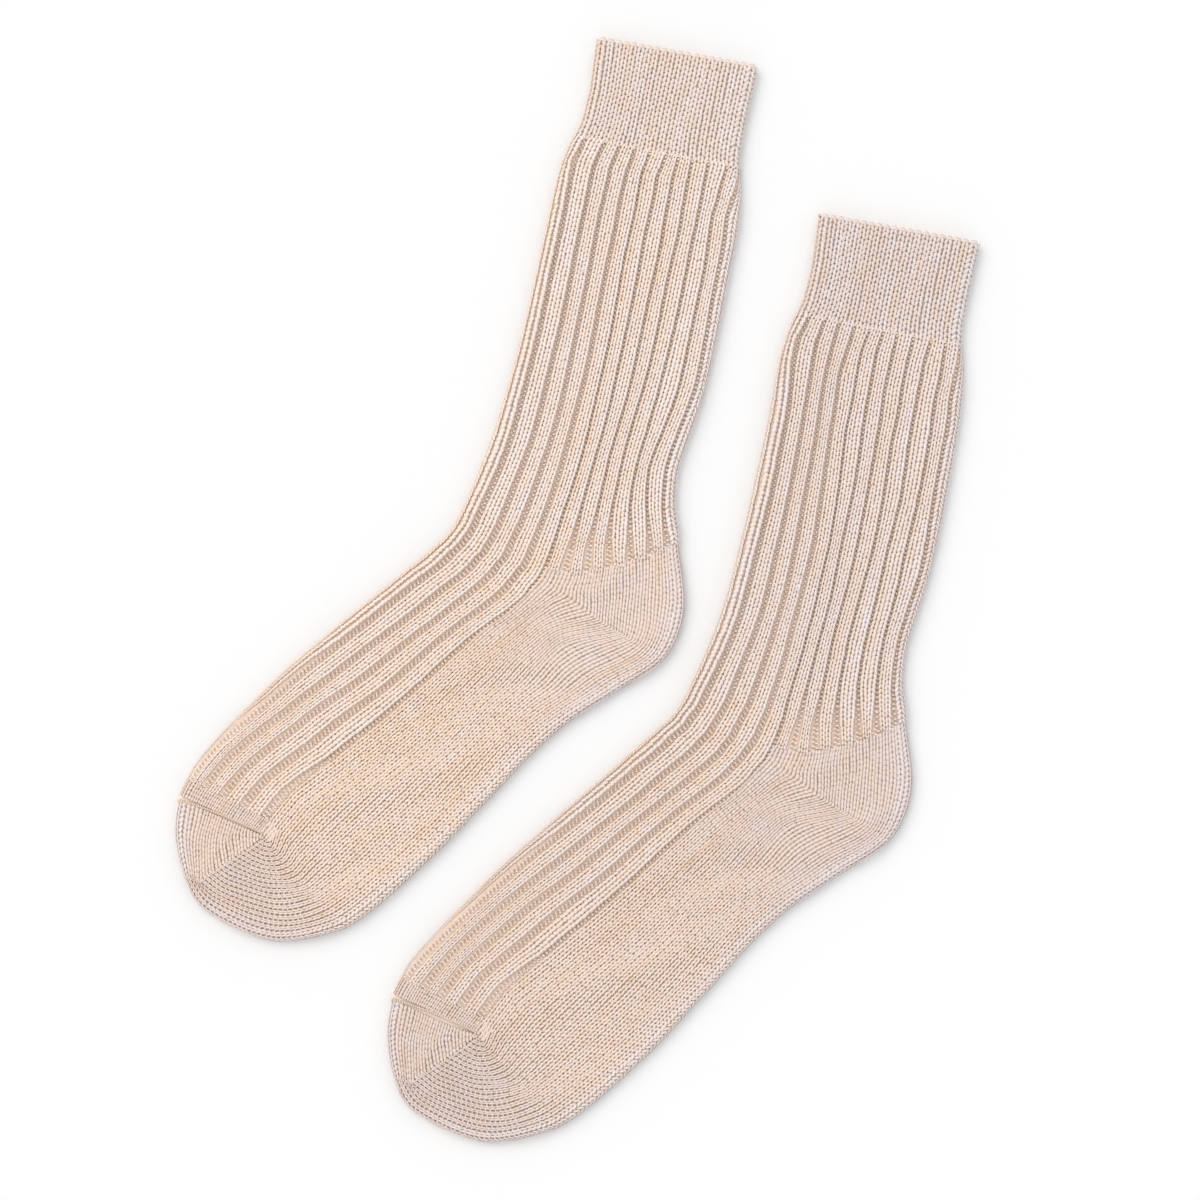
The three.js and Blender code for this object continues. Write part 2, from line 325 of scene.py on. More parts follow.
def relief(sock, place, side):
    """How far the cloth stands over its plain height from its ribs, and whether it is ribbed."""
    place, side = np.broadcast_arrays(np.asarray(place, float), np.asarray(side, float))
    lift = np.zeros(place.shape)
    stop = np.zeros(place.shape)
    left = furrow_at(sock, 0, place)
    for number in range(LAST_FURROW):
        right = furrow_at(sock, number + 1, place)
        phase = (side - left) / (right - left)
        here = (phase >= 0) & (phase < 1)
        lift = np.where(here, np.interp(phase, *zip(*LEAN)), lift)
        last = SEAM_COURSES if number < MIDDLE_FURROW else rib_end(side)
        stop = np.where(here, last - place, stop)
        left = right
    fade = np.clip((place - 1.0) / 0.3, 0, 1) * np.clip(stop / 0.12, 0, 1)
    return RIB_HEIGHT * lift * fade, (place > 1.04) & (stop > 0)


print("furrows on the face of a sock:", LAST_FURROW - 1)

# %% [markdown]
# ## The cloth tube
# The cloth is one tube, open at the cuff and closed at the toe. A flat grid is the
# start: one way round the sock, the other way along it. Each grid point then moves to
# its place on the sock, the long edges are merged, and Solidify gives the wall.

# %% Build the cloth tube
TOP_SIDES = 168
UNDER_SIDES = 20
BODY_ROWS = 112
TOE_ROWS = 52
CUFF_START = 0.03
WALL = 1.6
# how far the cloth lies under the stitches that it carries
SINK = 0.4
# the rise picks the cloth's colour: 0 in a furrow, 1 on the hidden side; low rises are
# painted shade, darkest in the furrows and darker over the toe's tip side
RIB_RISE, TOE_RISE, PLAIN_RISE = 0.6, 0.45, 0.75


def hidden_layer(sock, points):
    """Points of the layer on the table, with a rise of 1."""
    flat, _ = sock.height(points, under=True)
    return np.column_stack([points, flat, np.ones(len(flat))])


def tube_points(sock):
    """Rows of ring points along the sock, in millimetres, each with its rise from 0 to 1."""
    top = np.linspace(-1, 1, TOP_SIDES + 1)
    under = np.linspace(1, -1, UNDER_SIDES + 1)
    rows = []
    for place in np.linspace(CUFF_START, ROW["toe seam"], BODY_ROWS + 1):
        over = sock.body_point(np.full(top.shape, place), top)
        z, normal = sock.height(over)
        ribs, ribbed = relief(sock, place, top)
        above = np.column_stack([over, z]) + normal * (ribs - SINK)[:, None]
        rise = np.where(ribbed, np.clip(ribs / RIB_HEIGHT, 0, RIB_RISE), PLAIN_RISE)
        down = hidden_layer(sock, sock.body_point(np.full(under.shape, place), under))
        rows.append(np.vstack([np.column_stack([above, rise]), down[1:-1]]))
    return np.array(rows)


def toe_rows(sock):
    """Rows that swing round the toe from its back edge to its front edge."""
    heart = sock.heart
    edge = along(sock.toe, np.linspace(0, len(sock.toe) - 1, TOE_ROWS + 1))
    out = np.linspace(0, 1, TOP_SIDES // 2 + 1)
    down = np.linspace(1, 0, UNDER_SIDES // 2 + 1)
    rows = []
    for at in edge:
        over = across(heart, np.broadcast_to(at, (len(out), 2)), out)
        z, normal = sock.height(over)
        above = np.column_stack([over, z]) - normal * SINK
        rise = TOE_RISE if at[1] < heart[1] else PLAIN_RISE
        upper = np.column_stack([above, np.full(len(above), rise)])
        lower = hidden_layer(sock, across(heart, np.broadcast_to(at, (len(down), 2)), down))
        rows.append(np.vstack([upper, lower[1:]]))
    return np.array(rows)


def grid_piece(bm, rows, closed, strip):
    """Adds a grid with its points at rows of places. strip is its part of the texture's height."""
    many, around = rows.shape[:2]
    columns = around + (1 if closed else 0)
    made = bmesh.ops.create_grid(bm, x_segments=columns - 1, y_segments=many - 1, size=1)
    rise, plan = bm.verts.layers.float["rise"], bm.loops.layers.uv["OFBake"]
    for i, vert in enumerate(made["verts"]):
        row, column = divmod(i, columns)
        for loop in vert.link_loops:
            up_strip = strip[0] + (strip[1] - strip[0]) * row / (many - 1)
            loop[plan].uv = (column / (columns - 1), up_strip)
        x, y, z, up = rows[row, column % around]
        vert.co = Vector((x, y, z)) * MM
        vert[rise] = up


def add_object(name, data):
    piece = bpy.data.objects.new(name, data)
    bpy.context.scene.collection.objects.link(piece)
    return piece


def make_tube(sock):
    bm = bmesh.new()
    bm.verts.layers.float.new("rise")
    bm.loops.layers.uv.new("OFBake")
    grid_piece(bm, tube_points(sock), True, (0.0, 0.74))
    grid_piece(bm, toe_rows(sock), False, (0.76, 1.0))
    bmesh.ops.remove_doubles(bm, verts=bm.verts, dist=0.00002)
    bmesh.ops.recalc_face_normals(bm, faces=bm.faces)
    mesh = bpy.data.meshes.new(f"{sock.name}_cloth")
    bm.to_mesh(mesh)
    bm.free()
    mesh.polygons.foreach_set("use_smooth", np.ones(len(mesh.polygons), bool))
    piece = add_object(f"{sock.name}_cloth", mesh)
    wall = piece.modifiers.new("wall", "SOLIDIFY")
    wall.thickness = WALL * MM
    wall.offset = -1
    return piece


def cloth_cut(sock, tube):
    """The cloth slit along one edge and laid open, in metres: greatest width, length and area."""
    rows = tube_points(sock)[:, :, :3]
    around = np.linalg.norm(np.roll(rows, -1, axis=1) - rows, axis=2).sum(1)
    middle = on_line(sock.lines[1], np.linspace(CUFF_START, len(SECTIONS) - 1, 300))
    length = np.linalg.norm(np.diff(middle, axis=0), axis=1).sum() + TIP_BULGE
    area = sum(face.area for face in tube.data.polygons)
    return around.max() * MM, length * MM, area


tubes = {sock.name: make_tube(sock) for sock in SOCKS}
cuts = {sock.name: cloth_cut(sock, tubes[sock.name]) for sock in SOCKS}
print("cloth laid open, metres:", {name: [round(x, 4) for x in cut] for name, cut in cuts.items()})
print("cloth faces:", {name: len(tube.data.polygons) for name, tube in tubes.items()})

# %% [markdown]
# ## How the columns of stitches run
# Columns of knit stitches run down the leg and along the foot. In the heel they turn
# in a sharp corner along its gore. In the toe they swing round the end of the seam to
# the toe's gore, and other columns go from there straight up to the seam. Each place
# has a small table of rows: where the columns start, turn, and join again.

# %% Tables of the heel and the toe
# columns: share of the side; x, y in millimetres, before the pair is centred
HEEL_RUNS = {
    "start": ((0.186, -1.2, 8.0), (0.357, 9.2, 9.4), (0.55, 20.9, 11.8), (0.775, 34.5, 16.5)),
    "back": ((0.186, -3.0, 2.5), (0.357, 8.3, -1.5), (0.55, 19.6, -4.0), (0.775, 33.8, -5.5)),
    "gore": ((0.186, -4.9, -3.3), (0.357, 7.3, -13.2), (0.55, 17.9, -20.2), (0.775, 30.3, -26.7)),
    "after": ((0.186, -14.8, -8.5), (0.357, -9.6, -17.4), (0.55, -6.3, -26.8), (0.775, 6.8, -39.5)),
    "join": ((0.186, -27.0, -18.8), (0.357, -23.3, -26.8), (0.55, -19.5, -39.0), (0.775, -10.1, -51.2)),
}
# where each row starts on the middle line and ends on the back edge, as places
HEEL_ENDS = {
    "start": (6.7, 5.98), "back": (6.9, 7.1), "gore": (7.1, 8.2), "after": (9.4, 9.25), "join": (9.7, 9.75),
}
TOE_RUNS = {
    "bottom": ((0.345, -145.7, -132.5), (0.575, -142.6, -143.7), (0.8, -139.8, -155.6)),
    "turn": ((0.35, -154.0, -130.5), (0.58, -161.0, -138.2), (0.775, -167.1, -145.2)),
    "gore": ((0.34, -160.5, -126.2), (0.58, -170.8, -132.6), (0.775, -178.4, -137.8)),
    "rise": ((0.34, -161.1, -117.5), (0.58, -171.3, -118.8), (0.775, -179.0, -119.0)),
    "seam": ((0.34, -159.6, -111.0), (0.58, -168.6, -106.9), (0.775, -175.4, -103.6)),
}
# where each row ends, as a share of the way round the toe's outline
TOE_ENDS = {"bottom": 0.2, "turn": 0.5, "gore": 0.76, "rise": 0.89, "seam": 0.985}
# half the width of the furrow that parts the instep from the sole: place, share of the side
MIDDLE_GAP = (
    (1, 0.015), (4, 0.011), (5.5, 0.011), (6.5, 0.014), (10, 0.014),
    (12, 0.02), (12.3, 0.04), (12.6, 0.05), (13, 0.05),
)
print("heel rows", len(HEEL_RUNS), "toe rows", len(TOE_RUNS))

# %% Runs of columns through the heel and the toe
# along a column from heel to toe, t is 0 where the ribs end and grows by 1 a row
HEEL_SPAN = 5.0
TOE_START = HEEL_SPAN + 3
GORE_AT = TOE_START + 3


def smoothstep(low, high, x):
    f = np.clip((x - low) / (high - low), 0, 1)
    return f * f * (3 - 2 * f)


def sole_start(sock, place):
    """The side where the sole begins."""
    return furrow_at(sock, MIDDLE_FURROW, place) + np.interp(place, *zip(*MIDDLE_GAP))


class Runs:
    """Columns that cross a table of rows, with a corner at one row."""

    def __init__(self, rows, corner, soft):
        self.rows = rows
        self.corner = corner
        self.soft = soft

    def row_point(self, row, side):
        """The point of a row at a share of its side, measured over the fold's curve."""
        shares, points = self.rows[row]
        width = np.linalg.norm(points[-1] - points[0])
        plan = plan_share(width, side)
        return np.stack([np.interp(plan, shares, points[:, c]) for c in (0, 1)], -1)

    def curve(self, t, side, cut):
        """Points on a smooth run through the rows, or on one cut in two at the corner."""
        last = len(self.rows) - 1
        grid = np.array([self.row_point(r, side) for r in range(last + 1)])
        index = np.clip(np.floor(t).astype(int), 0, last - 1)
        f = (t - index)[:, None]
        many = np.arange(len(t))
        p1, p2 = grid[index, many], grid[index + 1, many]
        before, after = grid[np.maximum(index - 1, 0), many], grid[np.minimum(index + 2, last), many]
        start, end = index == 0, index == last - 1
        if cut:
            start = start | (index == self.corner)
            end = end | (index == self.corner - 1)
        p0 = np.where(start[:, None], 2 * p1 - p2, before)
        p3 = np.where(end[:, None], 2 * p2 - p1, after)
        return bend_between(p1, p2, (p2 - p0) / 2, (p3 - p1) / 2, f)

    def point(self, t, side):
        t = np.asarray(t, float)
        side = np.broadcast_to(np.asarray(side, float), t.shape)
        soft = smoothstep(*self.soft, side)[:, None]
        return self.curve(t, side, True) * (1 - soft) + self.curve(t, side, False) * soft


def table_rows(sock, table, ends, row):
    """Rows of points for Runs: the first and last point from ends, the rest from the table."""
    shift = np.array(SECTIONS[row][6:8]) * sock.share - PAIR_MIDDLE
    made = []
    for name, inner in table.items():
        start, end = ends[name]
        points = [start, *(np.array(p[1:]) + shift for p in inner), end]
        made.append(((0, *(p[0] for p in inner), 1), np.array(points)))
    return made


def section_row(sock, place):
    """A row straight across the back side, from the edge of the sole's first column."""
    shares = np.linspace(0, 1, 9)
    side = shares + sole_start(sock, place) * (1 - shares) ** 3
    middle, back = on_line(sock.lines[1], place), on_line(sock.lines[2], place)
    return shares, middle + (back - middle) * side[:, None]


def heel_runs(sock):
    """The columns from the end of the ribs, round the heel, to the arch."""
    ends = {n: (on_line(sock.lines[1], a), on_line(sock.lines[2], b)) for n, (a, b) in HEEL_ENDS.items()}
    rows = table_rows(sock, HEEL_RUNS, ends, "heel corner")
    return Runs([*rows, section_row(sock, 10), section_row(sock, 10.5)], 2, (0.62, 0.82))


def toe_runs(sock):
    """The columns from the sole round the toe to its gore, and from the gore to the seam."""
    start = section_row(sock, 13)
    curl = start[1][0]
    round_it = len(sock.toe) - 1
    ends = {name: (curl, along(sock.toe, share * round_it)) for name, share in TOE_ENDS.items()}
    rows = table_rows(sock, TOE_RUNS, ends, "toe")
    return Runs([section_row(sock, 12.6), start, *rows], 4, (0.88, 0.98))


def sole_path(sock):
    """One run from the heel to the toe's gore: t counts heel rows, sections and toe rows."""
    heel, toe = heel_runs(sock), toe_runs(sock)

    def point(t, side):
        t = np.asarray(t, float)
        side = np.broadcast_to(np.asarray(side, float), t.shape)
        in_heel = heel.point(np.clip(t, 0, HEEL_SPAN), side)
        place = np.clip(t - HEEL_SPAN + 10, 10, 13)
        in_foot = sock.body_point(place, side + sole_start(sock, place) * np.clip(1 - side, 0, 1) ** 3)
        in_toe = toe.point(np.clip(t - TOE_START + 1, 1, 5), side)
        near_toe = (t > TOE_START)[:, None]
        near_heel = (t < HEEL_SPAN)[:, None]
        return np.where(near_heel, in_heel, np.where(near_toe, in_toe, in_foot))

    return point


print("the sole starts at t", HEEL_SPAN, "the toe at", TOE_START, "and its gore is at", GORE_AT)

# %% [markdown]
# ## Stitches
# A knit stitch shows as two legs of yarn that meet in a V. Thousands of them cover a
# sock, so a leg is a plain grain of eighteen triangles: two tips and three rings of
# three points. The grains of one zone are worked out together and become one mesh.

# %% The grains of yarn
GRAIN_RINGS = ((0.16, 0.84), (0.5, 1.0), (0.84, 0.84))
GRAIN_POINTS = 11
YARN_HEIGHT = 0.4
# no yarn reaches lower than this over the table
LOWEST_YARN = 0.02
rng = np.random.default_rng(17)


def grain_faces():
    """The eighteen triangles of a grain, with its points counted tip, rings, tip."""
    faces = []
    for k in range(3):
        n = (k + 1) % 3
        faces.append((0, 1 + n, 1 + k))
        for ring in (1, 4):
            faces.append((ring + k, ring + n, ring + 3 + n))
            faces.append((ring + k, ring + 3 + n, ring + 3 + k))
        faces.append((10, 7 + k, 7 + n))
    return np.array(faces)


def grain_points(keys, normals, widths, heights):
    """The points of many grains, each bent through its three keys."""
    start, middle, end = keys[:, 0], keys[:, 1], keys[:, 2]
    bend = 2 * middle - (start + end) / 2
    side = unit(np.cross(normals, unit(end - start)))
    up = normals * heights[:, None]
    points = [start - up * 0.5]
    for f, wide in GRAIN_RINGS:
        centre = start * (1 - f) ** 2 + bend * 2 * f * (1 - f) + end * f * f
        half = side * (widths * wide)[:, None]
        points += [centre - half - up * 0.35, centre + up * wide, centre + half - up * 0.35]
    points.append(end - up * 0.5)
    return np.stack(points, 1)


def grain_mesh(name, keys, normals, widths, heights, tones, cool):
    """One mesh of many grains. Each carries its tone, and how cool its shade is."""
    points = grain_points(keys, normals, widths, heights)
    points[..., 2] = np.maximum(points[..., 2], LOWEST_YARN)
    count = len(keys)
    corners = (grain_faces()[None] + GRAIN_POINTS * np.arange(count)[:, None, None]).reshape(-1)
    mesh = bpy.data.meshes.new(name)
    mesh.vertices.add(count * GRAIN_POINTS)
    mesh.vertices.foreach_set("co", (points * MM).astype(np.float32).ravel())
    mesh.loops.add(len(corners))
    mesh.loops.foreach_set("vertex_index", corners.astype(np.int32))
    mesh.polygons.add(len(corners) // 3)
    mesh.polygons.foreach_set("loop_start", np.arange(0, len(corners), 3, dtype=np.int32))
    mesh.update(calc_edges=True)
    mesh.polygons.foreach_set("use_smooth", np.ones(len(mesh.polygons), bool))
    for label, values in (("tone", tones), ("cool", cool)):
        layer = mesh.attributes.new(label, "FLOAT", "POINT")
        layer.data.foreach_set("value", np.repeat(values, GRAIN_POINTS).astype(np.float32))
    plan = mesh.uv_layers.new(name="OFBake")
    flat = points.reshape(-1, 3)[corners][:, :2]
    flat = (flat - flat.min(0)) / (flat.max(0) - flat.min(0)).max()
    plan.data.foreach_set("uv", flat.astype(np.float32).ravel())
    return add_object(name, mesh)


print("triangles in a grain:", len(grain_faces()))

# %% One column of stitches
# a zone that ends here ends with its column
LAST = 99


class Yarn:
    """Collects the grains of one zone of one sock."""

    def __init__(self, sock):
        self.sock = sock
        self.parts = []

    def add(self, plan, under, lift, widths, heights, tones, cool):
        """plan holds three plan points a grain. The rest is one value for all, or one a grain."""
        count = len(plan)
        if count == 0:
            return
        flat = plan.reshape(-1, 2)
        z, normal = self.sock.height(flat, np.repeat(under, 3))
        lift, *rest = (np.broadcast_to(v, count) for v in (lift, widths, heights, tones, cool))
        points = np.column_stack([flat, z]) + normal * np.repeat(lift, 3)[:, None]
        self.parts.append((points.reshape(count, 3, 3), normal.reshape(count, 3, 3)[:, 1], *rest))

    def piece(self, name):
        return grain_mesh(name, *(np.concatenate(column) for column in zip(*self.parts)))


def steps_along(point, lane, span, pitch):
    """Even steps along a column: the run of lengths, its t values, and the step places."""
    t = np.linspace(*span, 1500)
    line = point(t, lane(t)[0])
    run = np.concatenate([[0], np.cumsum(np.linalg.norm(np.diff(line, axis=0), axis=1))])
    count = max(int(round(run[-1] / pitch)), 1)
    at = (np.arange(count) + 0.5) / count * run[-1]
    return t, run, at + rng.normal(0, 0.04 * pitch, count)


def sort_into(zones, here, values):
    """Gives each grain to the yarn of the zone that it lies in."""
    begin = -LAST
    for yarn, end in zones:
        mine = (here >= begin) & (here < end)
        yarn.add(*(v[mine] if np.ndim(v) else v for v in values))
        begin = end


def lay_wale(zones, point, lane, span, pitch, legs, lift, knit):
    """Lays the stitches of one column.

    point maps t and side to the plan, and lane gives the column's middle and width at t.
    zones lists each yarn with the t where it ends, and legs each leg's offset, lift and
    tone. knit holds rows of t, slant, half length in pitches, half width in legs, tone,
    how far apart the legs are, and how cool.
    """
    t, run, at = steps_along(point, lane, span, pitch)
    count = len(at)
    here = np.interp(at, run, t)
    places, *columns = zip(*knit)
    slant, long, fat, shade, apart, cool = (np.interp(here, places, column) for column in columns)
    keys_t = [np.interp(at + k * long * pitch, run, t) for k in (-1, 0, 1)]
    middle, width = lane(here)
    shade = shade + rng.normal(0, 0.035) + 0.03 * np.sin(here * 3.1 + rng.uniform(0, 6))
    for part, base, tone in legs:
        offset = part * apart
        # edge grows over the back fold: it turns the legs there, and below it lightens their tone as a
        # painted highlight on that fold
        edge = smoothstep(0.82, 1.0, middle)
        turn = (slant + 0.5 * edge) * 0.25 * (1 if part > 0 else -1)
        wobble = rng.normal(0, 0.02, count) * (1 - 0.6 * cool)
        keys = []
        for k, kt in zip((-1, 0, 1), keys_t):
            m, w = lane(kt)
            keys.append(point(kt, m + w * (offset + wobble + turn * k)))
        plan = np.stack(keys, 1)
        right = point(here, middle + width * (offset + 0.25))
        left = point(here, middle + width * (offset - 0.25))
        course = unit(plan[:, 2] - plan[:, 0])
        across_it = right - left
        gap = np.abs(course[:, 0] * across_it[:, 1] - course[:, 1] * across_it[:, 0])
        side = middle + width * offset
        values = (
            plan,
            np.abs(side) > 1.0,
            base + lift(here, side),
            fat * gap * rng.uniform(0.92, 1.06, count),
            YARN_HEIGHT * rng.uniform(0.9, 1.1, count),
            # 0.22 * edge is a painted highlight on the back fold
            tone + shade + 0.22 * edge + rng.normal(0, 0.05, count) * (1 - 0.5 * cool),
            cool,
        )
        sort_into(zones, here, values)


# %% [markdown]
# ### The welt
# The band at the top has no deep ribs: twenty one columns lie over its face. At the
# cuff each column ends in a small loop that rolls over the edge.

# %% Stitches of the welt
WELT_PITCH = 2.4
WELT_SPAN = (0.032, 1.04)
WELT_LEGS = ((-0.25, 0.3, 0.58), (0.25, 0.3, 0.66))
# columns over each side: -1 is the front
WELT_COLUMNS = ((-1, 10), (1, 12))
WELT_KNIT = ((0, 0.5, 0.7, 0.56, 0.0, 1.0, 0.0),)


def level(t, side):
    return 0.0


def straight_lane(centre, width):
    """A column at a fixed share of the side, but for a slow drift that it shares with the next."""
    loose = 4 * abs(centre) * (1 - abs(centre))

    def lane(t):
        t = np.asarray(t, float)
        drift = 0.007 * np.sin(t * 2.1 + centre * 8) + 0.003 * np.sin(t * 5.3 + centre * 17)
        return centre + drift * loose, np.full(t.shape, width)

    return lane


def loops(sock, yarn, middle, half, start, reach, fat, lift, tone):
    """Arches of yarn that open down the sock, one over each middle in a list of sides."""
    many = len(middle)
    keys = [sock.body_point(np.full(many, start + reach * abs(k)), middle + half * k) for k in (-1, 0, 1)]
    tones = tone + rng.normal(0, 0.06, many)
    yarn.add(np.stack(keys, 1), np.abs(middle) > 1, lift, fat, 0.5, tones, 0.0)


def welt_stitches(sock):
    yarn = Yarn(sock)
    zones = [(yarn, LAST)]
    for sign, count in WELT_COLUMNS:
        width = 1.0 / (count - 0.5)
        for i in range(count):
            lane = straight_lane(sign * (i + 0.5) * width, width)
            lay_wale(zones, sock.body_point, lane, WELT_SPAN, WELT_PITCH, WELT_LEGS, level, WELT_KNIT)
        middles = sign * (np.arange(count) + 0.5) * width
        loops(sock, yarn, middles, 0.5 * width, 0.022, 0.016, 1.1, 0.25, 0.64)
    return yarn.piece(f"{sock.name}_welt_stitches")


# %% [markdown]
# ### Leg and instep
# A rib has two columns of knit stitches, so four legs of yarn. The furrows beside it
# hold the purl stitches, which show as round beads: one a course where a furrow is
# nearly closed, and two or three where it opens above the heel and near the toe.

# %% Stitches of the leg and the instep
RIB_PITCH = 2.16
RIB_KNIT = ((0, 0.45, 0.7, 0.6, 0.0, 1.0, 0.0),)
# a place just above the heel, where each furrow's side says how far down it runs
ABOVE_HEEL = 6.4
# each leg: offset, lift, tone. The tones climb from a rib's left leg to its right one: painted shade on the
# low left flank and a painted highlight on the crest
RIB_LEGS = (((-0.25, 0.25, 0.49), (0.25, 0.3, 0.53)), ((-0.25, 0.3, 0.55), (0.25, 0.3, 0.62)))
# half the width of a furrow: place, share of its side
BACK_GAP = ((1, 0.016), (2.5, 0.016), (4.2, 0.012), (5.6, 0.013), (6.2, 0.034), (6.8, 0.042))
FRONT_GAP = ((1, 0.024), (3, 0.026), (5, 0.03), (7, 0.034), (11, 0.034), (12.3, 0.045), (12.86, 0.05))
# half widths from which a furrow shows two beads a course, and three
OPEN_FURROW = (0.022, 0.032)


def inset(number, t):
    """Half the width of a furrow, in shares of its side."""
    if number == MIDDLE_FURROW:
        gap = MIDDLE_GAP
    else:
        gap = FRONT_GAP if number < MIDDLE_FURROW else BACK_GAP
    return np.interp(t, *zip(*gap))


def rib_lane(sock, number, part):
    """The middle and width of one of the two knit columns of a rib."""

    def lane(t):
        left = furrow_at(sock, number, t) + inset(number, t)
        right = furrow_at(sock, number + 1, t) - inset(number + 1, t)
        width = (right - left) / 2
        return left + width * (part + 0.5), width

    return lane


def lay_beads(sock, zones, number, start, stop):
    """The purl stitches in a furrow: a round bead a course, or two or three where it opens."""

    def lane(t):
        return furrow_at(sock, number, t), inset(number, t)

    t, run, at = steps_along(sock.body_point, lane, (start, stop), RIB_PITCH)
    for row in (-1, 0, 1):
        here = np.interp(at + 0.25 * RIB_PITCH * row, run, t)
        half = lane(here)[1]
        rows = 1 + (half > OPEN_FURROW[0]) + (half > OPEN_FURROW[1])
        shown = np.where(rows == 2, row != 0, (row == 0) | (rows == 3))
        here, rows, step = here[shown], rows[shown], at[shown] + 0.25 * RIB_PITCH * row
        middle, half = lane(here)
        centre = np.choose(rows - 1, (0.2, 0.55 * row - 0.15, 0.75 * row - 0.15)) * half
        reach = np.choose(rows - 1, (1.4, 0.68, 0.52)) * half
        keys = []
        for k in (-1, 0, 1):
            bent = np.interp(step + 0.12 * RIB_PITCH * (k != 0), run, t)
            keys.append(sock.body_point(bent, middle + centre + reach * k))
        values = (
            np.stack(keys, 1),
            np.abs(middle) > 1,
            -0.15,
            np.where(rows > 1, 0.36, 0.46) * RIB_PITCH,
            0.4,
            np.where(rows > 1, 0.5, 0.4) + rng.normal(0, 0.08, len(here)),
            0.0,
        )
        sort_into(zones, here, values)


def rib_stitches(sock):
    """The ribs of the whole sock, as the yarn of the leg and of the foot."""
    leg, foot = Yarn(sock), Yarn(sock)
    zones = [(leg, ROW["heel top"]), (foot, LAST)]

    def lift(place, side):
        return relief(sock, place, side)[0]

    for number in range(LAST_FURROW):
        if number < MIDDLE_FURROW:
            stop = SEAM_COURSES
        else:
            between = (furrow_at(sock, number, ABOVE_HEEL) + furrow_at(sock, number + 1, ABOVE_HEEL)) / 2
            stop = float(rib_end(between)) + 0.03
        for part, legs in enumerate(RIB_LEGS):
            lane = rib_lane(sock, number, part)
            lay_wale(zones, sock.body_point, lane, (1.0, stop), RIB_PITCH, legs, lift, RIB_KNIT)
        foot_of_it = float(rib_end(furrow_at(sock, number, ABOVE_HEEL))) + 0.06
        lay_beads(sock, zones, number, 1.04, SEAM_COURSES if number <= MIDDLE_FURROW else foot_of_it)
    edges = np.array([furrow_at(sock, number, 1.1) for number in range(1, LAST_FURROW)])
    loops(sock, leg, edges, 0.04, 1.03, 0.045, 0.55, 0.2, 0.5)
    return leg, foot


# %% [markdown]
# ### Heel, sole and toe
# These are knitted plain, finer than the ribs. The columns of the sole run on round
# the toe to its gore. There the two legs of a stitch lie together, and short rungs of
# yarn cross from column to column with holes left between them. The toe's upper side
# has fewer columns, which stand on the gore and meet the instep at the linking seam.

# %% Stitches of the heel, the sole and the toe
PLAIN_PITCH = 2.4
PLAIN_WALES = 22
CAP_WALES = 15
PLAIN_LEGS = ((-0.25, 0.3, 0.46), (0.25, 0.3, 0.5))
SEAM_PITCH = 1.9
SEAM_WALES = 17.5
SEAM_GRAINS = 50
# where the seam runs: side, place
SEAM_LINE = (
    (-1.05, 13.13), (-0.8, 13.06), (-0.5, 13.035), (-0.2, 13.02),
    (0.02, 13.03), (0.06, 13.08), (0.09, 13.2),
)
# the heel is smooth, the sole shows its stitches, and those of the toe stand apart
PLAIN_KNIT = (
    (0.0, 0.15, 0.7, 0.64, 0.04, 1.0, 1.0),
    (3.5, 0.15, 0.7, 0.62, 0.02, 1.0, 0.9),
    (5.6, 0.5, 0.7, 0.56, 0.0, 1.0, 0.0),
    (7.6, 0.5, 0.7, 0.56, 0.0, 1.0, 0.1),
    (8.9, 0.1, 0.7, 0.5, 0.08, 0.72, 0.9),
)
CAP_KNIT = ((0, 0.2, 0.7, 0.62, 0.0, 1.0, 1.0),)
RUNG_START = 8.5
# rows of the toe's runs between which the upper side lies, from the gore to the seam
CAP_SPAN = (3.93, 6.0)
# how deep the smooth stitches of the heel and of the toe's upper side lie
SMOOTH_LIFT = -0.28


def heel_lift(t, side):
    """The stitches of the heel lie deeper in the cloth, and so look smoother."""
    return np.interp(t, (3.5, 5.6), (SMOOTH_LIFT, 0.0))


def cap_lift(t, side):
    return SMOOTH_LIFT


def lay_plain(sock, heel, foot, toe):
    path = sole_path(sock)
    width = 1.0 / (PLAIN_WALES - 0.5)
    zones = [(heel, HEEL_SPAN), (foot, TOE_START), (toe, LAST)]
    span = (-0.02, GORE_AT + 0.03)
    for number in range(PLAIN_WALES + 1):
        lane = straight_lane((number + 0.7) * width, width)
        lay_wale(zones, path, lane, span, PLAIN_PITCH, PLAIN_LEGS, heel_lift, PLAIN_KNIT)
        gap = straight_lane((number + 1.2) * width, 0.24 * width)
        lay_rungs(toe, path, gap, (RUNG_START, GORE_AT), PLAIN_PITCH)


def lay_rungs(yarn, point, lane, span, pitch):
    """Short grains across the gap between two columns, one a course, which leave holes between."""
    t, run, at = steps_along(point, lane, span, pitch)
    here = np.interp(at, run, t)
    middle, half = lane(here)
    keys = np.stack([point(here, middle + half * k) for k in (-1, 0, 1)], 1)
    tones = 0.5 + rng.normal(0, 0.05, len(here))
    yarn.add(keys, np.abs(middle) > 1, 0.1, 0.26 * pitch, 0.3, tones, 1.0)


def lay_cap(sock, toe):
    """The toe's upper side: columns that stand on the gore and end at the seam."""
    runs = toe_runs(sock)
    width = 1.0 / (CAP_WALES - 0.5)
    zones = [(toe, LAST)]
    for number in range(CAP_WALES + 1):
        lane = straight_lane((number + 0.6) * width, width)
        lay_wale(zones, runs.point, lane, CAP_SPAN, PLAIN_PITCH, PLAIN_LEGS, cap_lift, CAP_KNIT)


